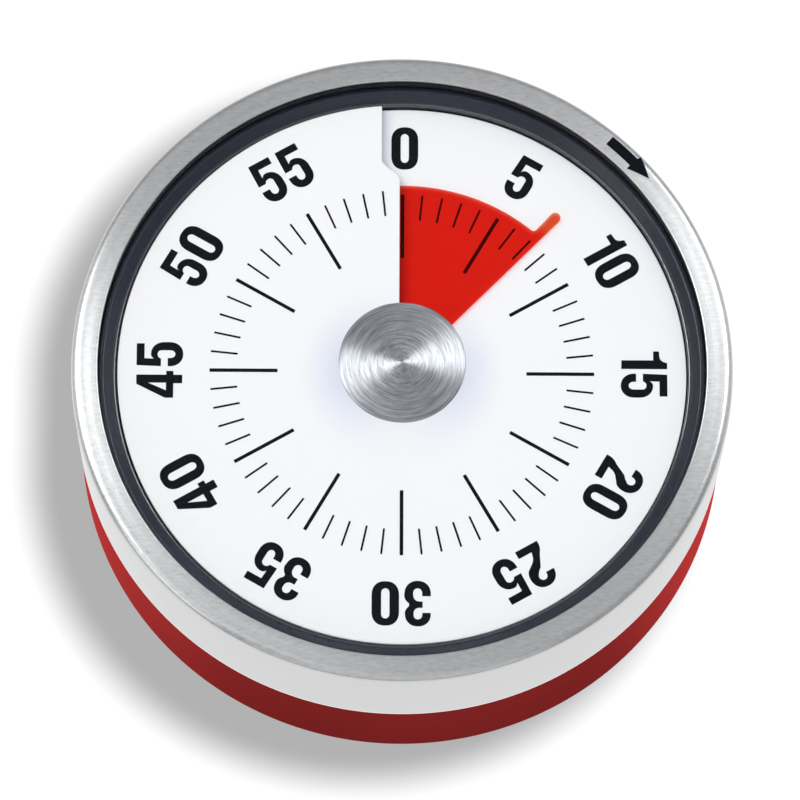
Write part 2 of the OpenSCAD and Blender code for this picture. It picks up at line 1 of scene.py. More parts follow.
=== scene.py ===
# %% [markdown]
# # A clockwork countdown timer
#
# The timer lies on its back on a white table. A steel ring with a clear lens and
# a spun knob turns as one piece; under the lens a white spiral dial is slotted
# from its centre to its rim, and a red film climbs out of the slot to show the
# minutes that are left. The construction comes ready made as the frame: this
# script gives each piece its true surface and finish, and never moves one.

# %% Frame and tools
import json
import math

import bmesh
import bpy
from mathutils import Matrix, Vector

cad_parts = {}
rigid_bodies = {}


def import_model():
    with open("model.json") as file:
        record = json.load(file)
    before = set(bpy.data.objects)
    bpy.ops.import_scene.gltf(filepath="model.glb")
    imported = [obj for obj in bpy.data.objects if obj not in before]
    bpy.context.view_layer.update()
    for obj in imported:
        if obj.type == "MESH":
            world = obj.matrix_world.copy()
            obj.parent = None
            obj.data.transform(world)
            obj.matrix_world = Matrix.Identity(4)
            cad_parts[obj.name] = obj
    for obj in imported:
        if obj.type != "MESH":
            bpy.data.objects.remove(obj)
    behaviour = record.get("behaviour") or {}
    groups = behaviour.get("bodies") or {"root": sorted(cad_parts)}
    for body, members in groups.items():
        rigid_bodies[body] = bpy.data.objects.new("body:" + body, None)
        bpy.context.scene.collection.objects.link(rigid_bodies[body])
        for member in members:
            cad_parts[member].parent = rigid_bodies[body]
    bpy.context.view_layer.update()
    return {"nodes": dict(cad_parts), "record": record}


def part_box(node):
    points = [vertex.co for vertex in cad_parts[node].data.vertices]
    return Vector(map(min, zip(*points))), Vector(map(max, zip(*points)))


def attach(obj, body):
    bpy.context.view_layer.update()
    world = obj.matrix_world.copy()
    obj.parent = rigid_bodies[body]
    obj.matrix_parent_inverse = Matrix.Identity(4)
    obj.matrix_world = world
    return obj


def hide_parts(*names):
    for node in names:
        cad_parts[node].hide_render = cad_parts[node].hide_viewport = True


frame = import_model()
nodes = frame["nodes"]
scene = bpy.context.scene
MM = 0.001
TURN = 2 * math.pi

# %% [markdown]
# ## Sizes from the frame
#
# Every outline below starts from the boxes of the CAD pieces, so a turned shape
# drawn here fills the place of the piece that it stands for. Sizes that a box
# can't tell, such as a wall or a bend, are written as real millimetres.

# %% Sizes
ring_low, ring_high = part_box("bezel_ring")
lens_low, lens_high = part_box("lens")
knob_low, knob_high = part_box("knob_cap")
base_low, base_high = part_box("base_shell")
foot_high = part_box("foot_ring")[1]
tray_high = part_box("dial_tray")[1]
dial_low, dial_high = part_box("dial")

DIAL_PITCH = 1.525 * MM
DIAL_THICK = 0.8 * MM
DIAL_OVERLAP = math.radians(8)
DIAL_ZERO = dial_low.z + DIAL_THICK + DIAL_PITCH * DIAL_OVERLAP / TURN
DIAL_R = dial_high.x
FACE_WIDTH = 3.2 * MM
RING_GAP = 0.4 * MM
LIP_R = ring_high.x - FACE_WIDTH
BODY_TOP = ring_low.z - RING_GAP
print(f"dial: zero plane at {DIAL_ZERO / MM:.3f} mm, radius {DIAL_R / MM:.2f} mm")

# %% [markdown]
# ## Camera
#
# A long lens far away keeps the circles of the dial nearly true ellipses. The
# camera stands on the side of the 30 minute mark, 71 degrees above the table,
# and leans a fraction of a degree to one side, so it gets its place from a tilt,
# a turn and a roll about the dial's centre.

# %% Camera
CAMERA_TILT = -0.33555
CAMERA_TURN = 0.0064
CAMERA_ROLL = -0.00356
CAMERA_AWAY = 834.94 * MM
CAMERA_ASIDE = Vector((0.237, 3.108)) * MM
LENS_MM = 310.63

turn = (
    Matrix.Rotation(CAMERA_ROLL, 3, "Z")
    @ Matrix.Rotation(CAMERA_TILT, 3, "X")
    @ Matrix.Rotation(CAMERA_TURN, 3, "Y")
)
stand = turn.transposed()
place = stand @ Vector((-CAMERA_ASIDE.x, -CAMERA_ASIDE.y, CAMERA_AWAY))
camera = bpy.data.objects.new("camera", bpy.data.cameras.new("camera"))
scene.collection.objects.link(camera)
camera.data.lens = LENS_MM
camera.data.sensor_width = 36
camera.data.clip_start = 0.05
camera.data.clip_end = 20
camera.matrix_world = Matrix.Translation(place + Vector((0, 0, DIAL_ZERO))) @ stand.to_4x4()
scene.camera = camera
scene.view_settings.view_transform = "Standard"
print("camera at", [round(v, 4) for v in camera.location])

# %% [markdown]
# ## Turned shapes
#
# Most of this timer was turned, spun or moulded round one axis. A helper turns a
# closed outline of radius and height into a solid. Each corner may carry a bend:
# a small arc replaces it, because no real edge is perfectly sharp and it is the
# bend that catches the light.

# %% Helpers for meshes
def link(name, mesh, body):
    """An object for a mesh that rides on a body."""
    piece = bpy.data.objects.new(name, mesh)
    scene.collection.objects.link(piece)
    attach(piece, body)
    return piece


def smooth(mesh, angle=35):
    """Smooth shading up to an angle between faces."""
    mesh.polygons.foreach_set("use_smooth", [True] * len(mesh.polygons))
    mesh.set_sharp_from_angle(angle=math.radians(angle))


def bent(corners, steps=5):
    """Replaces each corner (radius, height, bend) of a closed outline by an arc."""
    out = []
    for i, (x, y, bend) in enumerate(corners):
        here = Vector((x, y))
        if bend == 0:
            out.append(here)
            continue
        before = (Vector(corners[i - 1][:2]) - here).normalized()
        after = (Vector(corners[(i + 1) % len(corners)][:2]) - here).normalized()
        half = before.angle(after) / 2
        reach = bend / math.tan(half)
        centre = here + (before + after).normalized() * (bend / math.sin(half))
        start = here + before * reach - centre
        finish = here + after * reach - centre
        sweep = start.angle_signed(finish)
        for k in range(steps + 1):
            out.append(centre + Matrix.Rotation(-sweep * k / steps, 2) @ start)
    return out


def turned(name, corners, segments=256, steps=5):
    """A solid turned round the Z axis from a closed outline in millimetres."""
    outline = bent(corners, steps)
    bm = bmesh.new()
    rings = []
    for p in outline:
        r, z = p.x * MM, p.y * MM
        if r < 1e-7:
            rings.append([bm.verts.new((0, 0, z))])
            continue
        spread = [TURN * k / segments for k in range(segments)]
        rings.append([bm.verts.new((r * math.cos(a), r * math.sin(a), z)) for a in spread])
    for i, low in enumerate(rings):
        high = rings[(i + 1) % len(rings)]
        if len(low) == 1 and len(high) == 1:
            continue
        for k in range(segments):
            n = (k + 1) % segments
            if len(low) == 1:
                bm.faces.new((low[0], high[k], high[n]))
            elif len(high) == 1:
                bm.faces.new((low[k], low[n], high[0]))
            else:
                bm.faces.new((low[k], low[n], high[n], high[k]))
    bmesh.ops.recalc_face_normals(bm, faces=bm.faces)
    mesh = bpy.data.meshes.new(name)
    bm.to_mesh(mesh)
    bm.free()
    smooth(mesh)
    return mesh


def plugs(name, places, z_low, z_high, segments=32):
    """Round plugs at places (x, y, radius), in millimetres, as one mesh."""
    bm = bmesh.new()
    for x, y, r in places:
        spot = Matrix.Translation((x * MM, y * MM, (z_low + z_high) / 2 * MM))
        bmesh.ops.create_cone(
            bm,
            cap_ends=True,
            segments=segments,
            radius1=r * MM,
            radius2=r * MM,
            depth=(z_high - z_low) * MM,
            matrix=spot,
        )
    mesh = bpy.data.meshes.new(name)
    bm.to_mesh(mesh)
    bm.free()
    return mesh


def spots(count, far, r, start=0.0):
    """Places on a circle, in millimetres."""
    turns = [TURN * k / count + start for k in range(count)]
    return [(far * math.cos(a), far * math.sin(a), r) for a in turns]


def joined(name, meshes):
    """One mesh from several."""
    bm = bmesh.new()
    for mesh in meshes:
        bm.from_mesh(mesh)
        bpy.data.meshes.remove(mesh)
    mesh = bpy.data.meshes.new(name)
    bm.to_mesh(mesh)
    bm.free()
    return mesh


# %% [markdown]
# ## Finishes
#
# Each finish is a small tree of nodes on Object coordinates, which are real
# metres here because every piece sits at the origin. `Tree` keeps the wiring
# short: it adds a node, sets its plain sockets and links the others.

# %% Helpers for finishes
class Tree:
    """A material's node tree with short ways to add and join nodes."""

    def __init__(self, name):
        self.material = bpy.data.materials.new(name)
        self.material.use_nodes = True
        self.nodes = self.material.node_tree.nodes
        self.links = self.material.node_tree.links
        self.nodes.clear()
        self.out = self.nodes.new("ShaderNodeOutputMaterial")

    def add(self, kind, settings=None, **sockets):
        """Adds a node; a socket is named, with _ for a space, or numbered as i0, i1, i2."""
        node = self.nodes.new(kind)
        for key, value in (settings or {}).items():
            setattr(node, key, value)
        for key, value in sockets.items():
            numbered = key[0] == "i" and key[1:].isdigit()
            socket = node.inputs[int(key[1:]) if numbered else key.replace("_", " ")]
            if isinstance(value, bpy.types.NodeSocket):
                self.links.new(value, socket)
            else:
                socket.default_value = value
        return node

    def math(self, operation, a, b=0.0, c=0.0):
        return self.add("ShaderNodeMath", {"operation": operation}, i0=a, i1=b, i2=c).outputs[0]

    def objects(self):
        return self.add("ShaderNodeTexCoord").outputs["Object"]

    def axes(self):
        """The X, Y and Z of Object coordinates."""
        return self.add("ShaderNodeSeparateXYZ", Vector=self.objects()).outputs

    def far(self, x, y):
        """Distance from an axis, from the distances along X and Y."""
        squares = [self.math("MULTIPLY", side, side) for side in (x, y)]
        return self.math("SQRT", self.math("ADD", *squares))

    def noise(self, vector, scale, detail=3.0, roughness=0.5):
        sockets = {"Scale": scale, "Detail": detail, "Roughness": roughness}
        return self.add("ShaderNodeTexNoise", Vector=vector, **sockets).outputs["Fac"]

    def ramp(self, fac, *stops):
        node = self.add("ShaderNodeValToRGB", Fac=fac)
        band = node.color_ramp.elements
        while len(band) < len(stops):
            band.new(0.5)
        for element, (position, colour) in zip(band, stops):
            element.position = position
            element.color = (*colour, 1)
        return node.outputs["Color"]

    def span(self, value, low, high, start=0.0, end=1.0, **settings):
        """Maps a value that runs from start to end so that it runs from low to high."""
        node = self.add("ShaderNodeMapRange", settings, Value=value)
        limits = {"From Min": start, "From Max": end, "To Min": low, "To Max": high}
        for socket, limit in limits.items():
            node.inputs[socket].default_value = limit
        return node.outputs["Result"]

    def bump(self, height, strength, distance):
        node = self.add("ShaderNodeBump", Height=height, Strength=strength, Distance=distance)
        return node.outputs["Normal"]

    def principled(self, **sockets):
        node = self.add("ShaderNodeBsdfPrincipled", **sockets)
        self.links.new(node.outputs[0], self.out.inputs["Surface"])
        return node

    def slanted(self, scale):
        """Coordinates for short marks that all lean the same way."""
        return self.add(
            "ShaderNodeMapping",
            Vector=self.objects(),
            Rotation=(0, 0, math.radians(-35)),
            Scale=(scale * 0.3, scale, scale),
        ).outputs[0]

    def turned_grain(self, across, along):
        """Coordinates stretched round the Z axis, as a lathe or a brush marks metal."""
        x, y, z = self.axes()
        far = self.far(x, y)
        safe = self.math("MAXIMUM", far, 1e-5)
        return self.add(
            "ShaderNodeCombineXYZ",
            X=self.math("MULTIPLY", self.math("DIVIDE", x, safe), along),
            Y=self.math("MULTIPLY", self.math("DIVIDE", y, safe), along),
            Z=self.math("MULTIPLY", self.math("ADD", far, self.math("MULTIPLY", z, 0.7)), across),
        ).outputs[0]


def finish(piece, material):
    """Gives a piece one material."""
    piece.data.materials.clear()
    piece.data.materials.append(material)


# %% [markdown]
# ## Brushed and spun steel
#
# The ring's face was brushed round its axis and then tumbled, which leaves fine
# arcs under short slanting marks; its wall is smoother. The knob was turned: crisp
# rings, and bright fans where the rings face a lamp. All come from one anisotropic
# metal whose grain runs round the Z axis. They differ in how fine the grain is, how
# far one mark runs round, how much the tumbling shows and how deep the rings are.

# %% Steel finishes
def steel(name, colour, rough, grain, mottle, rings, aniso, contrast=0.14, along=3.0, tumbled=0.4):
    """Steel marked round the Z axis, with a share of slanting marks from tumbling."""
    t = Tree(name)
    fine = t.noise(t.turned_grain(grain, along), 1.0, 4.0, 0.65)
    wide = t.noise(t.turned_grain(grain / 2, along * 0.4), 1.0, 2.0, 0.5)
    sparkle = t.noise(t.slanted(mottle), 1.0, 4.0, 0.6)
    mixed = t.math("ADD", t.math("MULTIPLY", fine, 0.6), t.math("MULTIPLY", wide, 0.4))
    tone = t.math("ADD", t.math("MULTIPLY", mixed, 1 - tumbled), t.math("MULTIPLY", sparkle, tumbled))
    dark = tuple(c * (1 - contrast) for c in colour)
    light = tuple(min(1.0, c * (1 + contrast * 0.6)) for c in colour)
    shade = t.principled(
        Base_Color=t.ramp(tone, (0.38, dark), (0.62, light)),
        Metallic=1.0,
        Roughness=t.span(tone, rough - 0.05, rough + 0.07),
        Anisotropic=aniso,
        Anisotropic_Rotation=0.25,
        Normal=t.bump(t.math("ADD", mixed, t.math("MULTIPLY", sparkle, 0.5)), rings, 0.02 * MM),
    )
    tangent = t.add("ShaderNodeTangent", {"direction_type": "RADIAL", "axis": "Z"})
    t.links.new(tangent.outputs[0], shade.inputs["Tangent"])
    return t.material


face_steel = steel("face_steel", (0.43, 0.438, 0.446), 0.28, 9000, 3000, 0.08, 0.72, tumbled=0.6)
wall_steel = steel("wall_steel", (0.61, 0.612, 0.615), 0.3, 2500, 300, 0.02, 0.6, contrast=0.03)
KNOB_MARKS = {"contrast": 0.45, "along": 2.5, "tumbled": 0.15}
knob_steel = steel("knob_steel", (0.325, 0.338, 0.362), 0.36, 6500, 300, 0.1, 0.96, **KNOB_MARKS)
# A brighter steel that paints a highlight on the ring's lower edge.
painted_highlight_steel = steel("painted_highlight_steel", (0.9, 0.88, 0.88), 0.3, 2500, 300, 0.02, 0.5, contrast=0.03)
print("steel finishes:", face_steel.name, wall_steel.name, painted_highlight_steel.name, knob_steel.name)

# %% [markdown]
# ## The steel ring and its liner
#
# The ring is one deep-drawn strip: a wall that tapers a little, a bend of 1 mm over
# the front edge, a nearly flat face, and a lip over the lens that falls outwards by
# 3 degrees from its crest. It is drawn as a turned outline with a real wall, so it
# looks right from below. Face and wall were finished apart, and a brighter steel on
# the lower edge is a painted highlight, so the faces of the mesh take one of three
# steels by their height.

# %% Steel ring
RING_R = ring_high.x / MM
RING_TOP = ring_high.z / MM
RING_BOTTOM = ring_low.z / MM
RING_WALL = 0.7
RING_DRAFT = 0.25
SHOULDER = 1.0
LIP_T = 0.4
LIP_IN = LIP_R / MM
CREST_R = LIP_IN + 0.6
FACE_SLOPE = math.radians(3.0)
OUTER_SLOPE = math.radians(0.8)
FLAT_R = LIP_IN + 1.6
FLAT_TOP = RING_TOP - math.tan(FACE_SLOPE) * (FLAT_R - CREST_R)
RING_OUTER = RING_R + RING_DRAFT * 0.08
FACE_EDGE = FLAT_TOP - math.tan(OUTER_SLOPE) * (RING_OUTER - FLAT_R)
ring_mesh = turned(
    "steel_ring",
    [
        (RING_R - RING_DRAFT, RING_BOTTOM, 0.15),
        (RING_R - RING_DRAFT * 0.98, RING_BOTTOM + 0.35, 0),
        (RING_OUTER, FACE_EDGE, SHOULDER),
        (FLAT_R, FLAT_TOP, 15),
        (CREST_R, RING_TOP, 10),
        (LIP_IN, RING_TOP - 0.02, 0.15),
        (LIP_IN, RING_TOP - LIP_T, 0.1),
        (RING_R - RING_WALL, RING_TOP - LIP_T, 0.8),
        (RING_R - RING_DRAFT - RING_WALL, RING_BOTTOM, 0.15),
    ],
    360,
    8,
)
ring = link("steel_ring", ring_mesh, "rotor")
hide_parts("bezel_ring")
finish(ring, face_steel)
ring_mesh.materials.append(wall_steel)
ring_mesh.materials.append(painted_highlight_steel)
WALL_BELOW = (RING_TOP - 0.5) * MM
# Below this height the ring takes the brighter steel: a painted highlight on its lower edge.
PAINTED_HIGHLIGHT_BELOW = (RING_BOTTOM + 0.3) * MM
for face in ring_mesh.polygons:
    face.material_index = int(face.center.z < WALL_BELOW) + int(face.center.z < PAINTED_HIGHLIGHT_BELOW)
print("ring:", len(ring_mesh.polygons), "faces")


# %% [markdown]
# ## Moulded plastics
#
# Four plastics: the satin red base, the charcoal tray with its polished inner edge,
# the black liner and the white dial. Moulded plastic is never quite even: its colour
# drifts a little over centimetres and its gloss over millimetres, and a faint orange
# peel breaks up the reflections. The dial's colour holds a painted shade, greyer in
# the crease at its step. It also holds a painted soft cool shade at both sides of the
# knob, which is not cast, because a lamp's shadow came out much too dark.

# %% Plastic finishes
def plastic(name, colour, rough, drift=0.05, peel=0.05, shine=0.5, scale=60):
    t = Tree(name)
    cloud = t.noise(t.objects(), scale, 3.0, 0.5)
    skin = t.noise(t.objects(), 1800, 2.0, 0.5)
    dark = tuple(c * (1 - drift) for c in colour)
    light = tuple(min(1.0, c * (1 + drift)) for c in colour)
    t.principled(
        Base_Color=t.ramp(cloud, (0.3, dark), (0.7, light)),
        Roughness=t.span(skin, rough - 0.03, rough + 0.05),
        Specular_IOR_Level=shine,
        Normal=t.bump(skin, peel, 0.02 * MM),
    )
    return t.material


# A painted cool shade on the dial beside the knob, and the radii over which it fades out.
PAINTED_KNOB_SHADE = (0.76, 0.8, 0.92, 1)
PAINTED_KNOB_SHADE_R = (6.5 * MM, 13 * MM)


def dial_white(name, colour, painted_crease_shade):
    """White sheet with a painted grey shade in the crease at its step and a painted cool shade at both
    sides of the knob.
    """
    t = Tree(name)
    cloud = t.noise(t.objects(), 60, 3.0, 0.5)
    skin = t.noise(t.objects(), 1800, 2.0, 0.5)
    # Ambient occlusion of the dial's own mesh paints a grey shade into the crease at its step.
    crease = t.add("ShaderNodeAmbientOcclusion", {"samples": 12, "only_local": True}, Distance=2 * MM)
    tone = t.math("ADD", crease.outputs["AO"], t.math("MULTIPLY", cloud, 0.02))
    paint = t.ramp(tone, (0.55, painted_crease_shade), (0.9, tuple(c * 0.985 for c in colour)), (1, colour))
    x, y, z = t.axes()
    far = t.far(x, y)
    # The painted knob shade: strongest at both sides of the knob, fading out by 13 mm from its centre.
    near = t.span(far, 1, 0, *PAINTED_KNOB_SHADE_R, interpolation_type="SMOOTHSTEP")
    aside = t.math("POWER", t.math("ABSOLUTE", t.math("DIVIDE", x, t.math("MAXIMUM", far, 1e-4))), 2)
    amount = t.math("MULTIPLY", near, t.span(aside, 0.15, 1))
    shaded = t.add(
        "ShaderNodeMixRGB",
        {"blend_type": "MULTIPLY"},
        Fac=amount,
        Color1=paint,
        Color2=PAINTED_KNOB_SHADE,
    )
    t.principled(
        Base_Color=shaded.outputs["Color"],
        Roughness=t.span(skin, 0.47, 0.55),
        Specular_IOR_Level=0.3,
        Normal=t.bump(skin, 0.03, 0.02 * MM),
    )
    return t.material


red_plastic = plastic("red_plastic", (0.445, 0.036, 0.036), 0.4, 0.05, 0.03, 0.0)
tray_plastic = plastic("tray_plastic", (0.012, 0.015, 0.029), 0.28, 0.08, 0.05, 0.33)
tray_edge = plastic("tray_edge", (0.02, 0.023, 0.036), 0.1, 0.08, 0.02, 1.0)
black_plastic = plastic("black_plastic", (0.034, 0.037, 0.046), 0.5)
# The third colour is the painted shade in the dial's crease.
dial_plastic = dial_white("dial_plastic", (0.745, 0.773, 0.85), (0.56, 0.605, 0.715))
rubber = plastic("foot_rubber", (0.02, 0.02, 0.022), 0.75, 0.15, 0.3)

# %% [markdown]
# ## Tray and liner
#
# Between the steel lip and the dial one looks down a dark slope that ends in a
# small ledge. The ledge has a rounded edge that shows as a bright hairline, and
# the dial's rim rises past it as the spiral climbs.

# %% Tray
TRAY_R = tray_high.x / MM
RIM_TOP = tray_high.z / MM
BASE_LEDGE = base_low.z / MM + 7.25
SEAT_R = DIAL_R / MM + 0.15
LEDGE_Z = DIAL_ZERO / MM + 0.9
FILM_TURN = 364 / 360
FILM_GAP = 0.25 * MM
FILM_LOWEST = (DIAL_ZERO - DIAL_PITCH * FILM_TURN) / MM + FILM_GAP / MM
TRAY_FLOOR = FILM_LOWEST - 0.4
TRAY_THICK = 1
TRAY_HOLE = 2.6
FLOOR_MIDDLE = TRAY_FLOOR - 0.5
RIM_R = TRAY_R - 0.9
RIM_STEP = RIM_TOP - 0.8
SKIRT_LOW = RIM_TOP - 4.9
SKIRT_IN = TRAY_R - 3.3
tray_mesh = turned(
    "tray_floor",
    [
        (TRAY_R, SKIRT_LOW, 0.1),
        (TRAY_R, RIM_STEP, 0.15),
        (RIM_R, RIM_STEP, 0),
        (RIM_R, RIM_TOP, 0.12),
        (RIM_R - 0.6, RIM_TOP, 0.3),
        (SEAT_R + 0.5, LEDGE_Z, 0.1),
        (SEAT_R, LEDGE_Z, 0.3),
        (SEAT_R, TRAY_FLOOR, 0.2),
        (TRAY_HOLE, TRAY_FLOOR, 0.1),
        (TRAY_HOLE, TRAY_FLOOR - TRAY_THICK, 0.1),
        (SKIRT_IN, TRAY_FLOOR - TRAY_THICK, 0.2),
        (SKIRT_IN, SKIRT_LOW, 0.1),
    ],
    360,
)
NECK_R = TRAY_R + 0.1
NECK_WALL = 2
TOWER_R = 3
SCREW_FAR = NECK_R - NECK_WALL - TOWER_R - 2.3
POST_FAR = DIAL_R / MM - 3.4
POST_R = 1.2
posts = [plugs("towers", spots(4, SCREW_FAR, TOWER_R, TURN / 8), BASE_LEDGE, FLOOR_MIDDLE, 48)]
for k in range(12):
    minute_angle = TURN * (k + 0.5) / 12
    post = [(POST_FAR * math.sin(minute_angle), POST_FAR * math.cos(minute_angle), POST_R)]
    post_top = (DIAL_ZERO + DIAL_PITCH * minute_angle / TURN - DIAL_THICK) / MM - 0.1
    posts.append(plugs("dial_post", post, FLOOR_MIDDLE, post_top))
tray = link("dial_tray_shell", joined("dial_tray_shell", [tray_mesh] + posts), "base")
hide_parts("dial_tray")
smooth(tray.data)
finish(tray, tray_plastic)
tray.data.materials.append(tray_edge)
POLISHED_R = (SEAT_R + 0.32) * MM
POLISHED_FROM = (LEDGE_Z - 0.35) * MM
for face in tray.data.polygons:
    inside = math.hypot(face.center.x, face.center.y) < POLISHED_R
    above = face.center.z > POLISHED_FROM
    face.material_index = int(inside and above)
print("tray:", len(tray.data.polygons), "faces")

# %% Liner
finish(nodes["bezel_liner"], black_plastic)


# %% [markdown]
# ## The spiral dial
#
# The dial is one white sheet that climbs 1.525 mm in a turn, like one turn of a
# very flat staircase, so its end passes over its own beginning. The higher end
# is cut back from the zero line by 2.55 mm near the rim, swings in along an S
# and then keeps 0.35 mm from the line. A grid of rows and stops gives it, and a
# bevel softens its edges.

# %% Dial
SLOT_NEAR = 0.35
SLOT_FAR = 2.55
SWING_START = 24.6
SWING_LENGTH = 2.8
DIAL_HOLE = 4.6


def dial_height(r, angle):
    """Height of the dial's face at an angle clockwise from the zero mark; r has no part."""
    return DIAL_ZERO + DIAL_PITCH * angle / TURN


def slot_offset(r):
    """Distance from the zero line to the higher end's edge, in millimetres."""
    t = min(1, max(0, (r - SWING_START) / SWING_LENGTH))
    return SLOT_NEAR + (SLOT_FAR - SLOT_NEAR) * t * t * (3 - 2 * t)


def clock_point(r, angle, z):
    """A point in metres from a radius in millimetres and a clockwise angle."""
    return Vector((r * MM * math.sin(angle), r * MM * math.cos(angle), z))


def sheet(name, rows, surface, lift, thick):
    """A closed sheet over a surface z(radius, angle); rows are lists of (radius, angle)."""
    bm = bmesh.new()
    faces = []
    for z in (lift, lift - thick):
        side = []
        for row in rows:
            side.append([bm.verts.new(clock_point(r, a, surface(r, a) + z)) for r, a in row])
        faces.append(side)
    top, low = faces
    last_row, last_stop = len(rows) - 1, len(rows[0]) - 1
    for i in range(last_row):
        for j in range(last_stop):
            bm.faces.new((top[i][j], top[i + 1][j], top[i + 1][j + 1], top[i][j + 1]))
            bm.faces.new((low[i][j], low[i][j + 1], low[i + 1][j + 1], low[i + 1][j]))
        for j in (0, last_stop):
            bm.faces.new((top[i][j], top[i + 1][j], low[i + 1][j], low[i][j]))
    for j in range(last_stop):
        for i in (0, last_row):
            bm.faces.new((top[i][j], top[i][j + 1], low[i][j + 1], low[i][j]))
    bmesh.ops.recalc_face_normals(bm, faces=bm.faces)
    mesh = bpy.data.meshes.new(name)
    bm.to_mesh(mesh)
    bm.free()
    smooth(mesh)
    return mesh


def soften(piece, width, segments=2):
    """A small bevel on sharp edges, applied to the mesh."""
    bevel = piece.modifiers.new("edges", "BEVEL")
    bevel.width = width
    bevel.segments = segments
    bevel.limit_method = "ANGLE"
    bevel.angle_limit = math.radians(50)
    graph = bpy.context.evaluated_depsgraph_get()
    mesh = bpy.data.meshes.new_from_object(piece.evaluated_get(graph))
    piece.modifiers.clear()
    piece.data = mesh
    smooth(mesh, 40)


swing = [SWING_START + SWING_LENGTH * k / 16 for k in range(17)]
stops = [DIAL_HOLE, 10, 16, 22, 24] + swing + [29, 31, 33, DIAL_R / MM - 0.3, DIAL_R / MM]
dial_rows = []
for i in range(241):
    share = i / 240
    row = []
    for r in stops:
        end = TURN - math.asin(slot_offset(r) / r)
        row.append((r, -DIAL_OVERLAP + (end + DIAL_OVERLAP) * share))
    dial_rows.append(row)
dial_mesh = sheet("spiral_dial", dial_rows, dial_height, 0, DIAL_THICK)
dial = link("spiral_dial", dial_mesh, "base")
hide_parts("dial")
soften(dial, 0.12 * MM)
finish(dial, dial_plastic)
print("dial:", len(dial.data.polygons), "faces")

# %% [markdown]
# ## Minute marks
#
# Sixty marks repeat round the dial, so Geometry Nodes make them: sixty points,
# each turned by its own number of minutes and raised by the spiral, carry a
# short bar, and every fifth point a long one. The tree ends in Realize Instances
# and Set Material, and the result becomes a plain mesh.

# %% Ink
ink = plastic("printed_ink", (0.0045, 0.006, 0.01), 0.6, 0.15, 0.05, 0.02)

# %% Minute marks
PRINT_T = 0.02 * MM


def marks_tree(name):
    """Sixty printed bars round the dial, every fifth one longer and wider."""
    tree = bpy.data.node_groups.new(name, "GeometryNodeTree")
    face = tree.interface
    face.new_socket("Geometry", in_out="OUTPUT", socket_type="NodeSocketGeometry")
    sizes = "Outer Radius, Long, Long Width, Short, Short Width, Pitch, Zero Height, Thickness"
    for label in sizes.split(", "):
        face.new_socket(label, in_out="INPUT", socket_type="NodeSocketFloat")
    face.new_socket("Ink", in_out="INPUT", socket_type="NodeSocketMaterial")
    new, join = tree.nodes.new, tree.links.new
    given = new("NodeGroupInput").outputs
    result = new("NodeGroupOutput")

    def feed(node, values):
        for socket, value in zip(node.inputs, values):
            if isinstance(value, bpy.types.NodeSocket):
                join(value, socket)
            else:
                socket.default_value = value
        return node.outputs[0]

    def maths(operation, a, b):
        node = new("ShaderNodeMath")
        node.operation = operation
        return feed(node, (a, b))

    def vector(x, y, z):
        return feed(new("ShaderNodeCombineXYZ"), (x, y, z))

    index = new("GeometryNodeInputIndex").outputs[0]
    turn_share = maths("DIVIDE", index, 60.0)
    height = maths("ADD", given["Zero Height"], maths("MULTIPLY", given["Pitch"], turn_share))
    points = new("GeometryNodePoints")
    points.inputs["Count"].default_value = 60
    join(vector(0.0, 0.0, height), points.inputs["Position"])
    every_fifth = new("FunctionNodeCompare")
    every_fifth.data_type = "FLOAT"
    every_fifth.operation = "LESS_THAN"
    join(maths("MODULO", maths("ADD", index, 0.25), 5.0), every_fifth.inputs[0])
    every_fifth.inputs[1].default_value = 0.5
    the_others = new("FunctionNodeBooleanMath")
    the_others.operation = "NOT"
    join(every_fifth.outputs[0], the_others.inputs[0])
    turned_by = new("FunctionNodeEulerToRotation")
    join(vector(0.0, 0.0, maths("MULTIPLY", turn_share, -TURN)), turned_by.inputs[0])
    everything = new("GeometryNodeJoinGeometry")
    for size, chosen in (("Long", every_fifth), ("Short", the_others)):
        length, width, thick = given[size], given[size + " Width"], given["Thickness"]
        bar = new("GeometryNodeMeshCube")
        join(vector(width, length, thick), bar.inputs["Size"])
        shift = new("GeometryNodeTransform")
        join(bar.outputs["Mesh"], shift.inputs["Geometry"])
        middle = maths("SUBTRACT", given["Outer Radius"], maths("MULTIPLY", length, 0.5))
        lifted = maths("MULTIPLY", thick, 0.5)
        join(vector(0.0, middle, lifted), shift.inputs["Translation"])
        copies = new("GeometryNodeInstanceOnPoints")
        join(points.outputs[0], copies.inputs["Points"])
        join(shift.outputs[0], copies.inputs["Instance"])
        join(turned_by.outputs[0], copies.inputs["Rotation"])
        join(chosen.outputs[0], copies.inputs["Selection"])
        join(copies.outputs[0], everything.inputs[0])
    real = new("GeometryNodeRealizeInstances")
    join(everything.outputs[0], real.inputs[0])
    inked = new("GeometryNodeSetMaterial")
    join(real.outputs[0], inked.inputs["Geometry"])
    join(given["Ink"], inked.inputs["Material"])
    join(inked.outputs[0], result.inputs[0])
    return tree


def grow(name, tree, values):
    """Runs a Geometry Nodes tree with named values and returns a plain mesh."""
    holder = bpy.data.objects.new(name, bpy.data.meshes.new(name))
    scene.collection.objects.link(holder)
    modifier = holder.modifiers.new("grow", "NODES")
    modifier.node_group = tree
    for item in tree.interface.items_tree:
        if item.in_out == "INPUT" and item.name in values:
            modifier[item.identifier] = values[item.name]
    graph = bpy.context.evaluated_depsgraph_get()
    mesh = bpy.data.meshes.new_from_object(holder.evaluated_get(graph))
    bpy.data.objects.remove(holder)
    mesh.name = name
    return mesh


